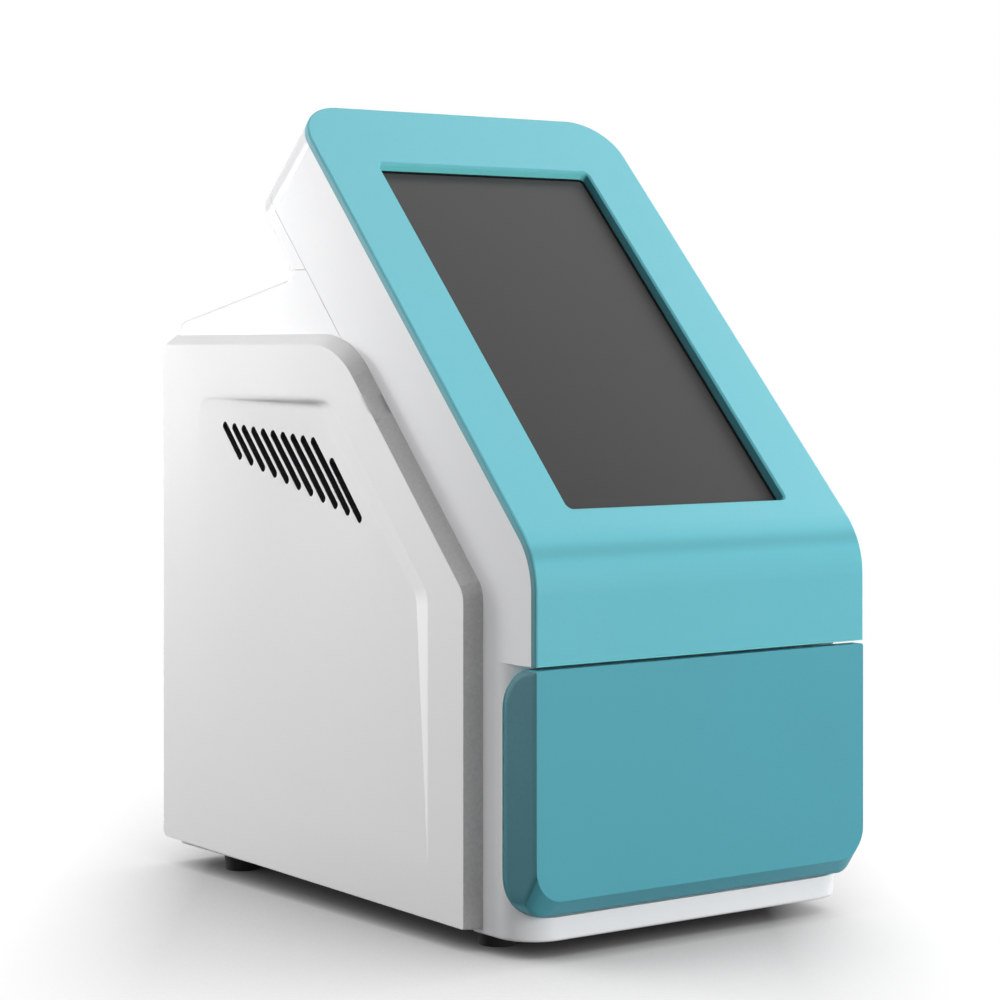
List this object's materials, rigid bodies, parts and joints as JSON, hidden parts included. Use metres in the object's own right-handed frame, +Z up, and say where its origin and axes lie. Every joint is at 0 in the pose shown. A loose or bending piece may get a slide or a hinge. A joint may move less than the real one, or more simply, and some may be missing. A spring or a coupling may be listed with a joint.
{
  "type": "benchtop chemistry analyzer",
  "caption": "Benchtop chemistry analyzer: white housing, teal leaning fascia with portrait touch screen, motor drawer with a spinning reagent disc platter, vented raised side panels.",
  "frame": {"origin": "middle of the footprint on the bench, under the feet", "axes": "+Z up, -Y towards the user (screen side), +X to the right seen from the front"},
  "size_m": [0.2144, 0.3252, 0.3995],
  "materials": {
    "housing_white": "satin moulded shell",
    "teal_upper": "satin painted moulding",
    "teal_lower": "satin painted moulding",
    "screen": "coated dark cover glass",
    "black_plastic": "fine grain black",
    "foot_rubber": "matt rubber",
    "sheet_steel": "zinc plated sheet",
    "aluminium": "machined",
    "board_green": "solder mask",
    "filter_foam": "open cell foam",
    "tray_grey": "fine grain grey",
    "nylon": "bare nylon"
  },
  "bodies": {
    "base": {"front_housing": "housing_white", "fascia": "teal_upper", "screen_glass": "screen", "display_module": "sheet_steel", "display_bracket": "sheet_steel", "main_cover": "housing_white", "head_back_cover": "housing_white", "vent_filter_left": "filter_foam", "vent_filter_right": "filter_foam", "side_panel_left": "housing_white", "side_panel_right": "housing_white", "chassis_base": "sheet_steel", "foot_front_left": "foot_rubber", "foot_front_right": "foot_rubber", "foot_rear_left": "foot_rubber", "foot_rear_right": "foot_rubber", "base_screws": "sheet_steel", "runner_outer_left": "sheet_steel", "runner_outer_right": "sheet_steel", "runner_hanger_left": "sheet_steel", "runner_hanger_right": "sheet_steel", "drive_motor": "sheet_steel", "motor_bracket": "sheet_steel", "optics_bridge": "sheet_steel", "optical_block": "aluminium", "lamp_module": "aluminium", "main_board": "board_green", "board_standoffs": "nylon", "power_supply": "sheet_steel", "rear_panel": "sheet_steel", "rear_screws": "sheet_steel", "power_inlet": "black_plastic", "switch_housing": "black_plastic", "usb_ports": "sheet_steel", "lan_port": "sheet_steel", "fan_frame": "black_plastic", "fan_guard": "sheet_steel"},
    "drawer": {"drawer_front": "teal_lower", "drawer_tray": "tray_grey", "spindle_motor": "sheet_steel", "runner_inner_left": "sheet_steel", "runner_inner_right": "sheet_steel", "drive_rack": "nylon"},
    "runner_middles": {"runner_middle_left": "sheet_steel", "runner_middle_right": "sheet_steel"},
    "pinion": {"drive_pinion": "nylon"},
    "platter": {"turntable": "black_plastic", "turntable_hub": "aluminium"},
    "fan": {"fan_rotor": "black_plastic"},
    "rocker": {"power_rocker": "black_plastic"}
  },
  "joints": [
    {"name": "drawer_slide", "type": "slide", "parent": "base", "child": "drawer", "axis": [0, -1, 0], "range_m": [0, 0.12]},
    {"name": "runner_slide", "type": "slide", "parent": "base", "child": "runner_middles", "axis": [0, -1, 0], "range_m": [0, 0.06]},
    {"name": "pinion_turn", "type": "hinge", "parent": "base", "child": "pinion", "pos_m": [0.044, -0.11905, 0.03625], "axis": [1, 0, 0], "range_deg": [0, 720]},
    {"name": "platter_turn", "type": "hinge", "parent": "drawer", "child": "platter", "pos_m": [0, -0.07055, 0.052], "axis": [0, 0, 1], "continuous": true},
    {"name": "fan_turn", "type": "hinge", "parent": "base", "child": "fan", "pos_m": [0.03, 0.15145, 0.14], "axis": [0, 1, 0], "continuous": true},
    {"name": "rocker_turn", "type": "hinge", "parent": "base", "child": "rocker", "pos_m": [-0.058, 0.15455, 0.078], "axis": [0, 0, 1], "range_deg": [-22, 0]}
  ],
  "couplings": [
    {"joint": "runner_slide", "follows": "drawer_slide", "ratio": 0.5},
    {"joint": "pinion_turn", "follows": "drawer_slide", "rad_per_m": 100}
  ]
}
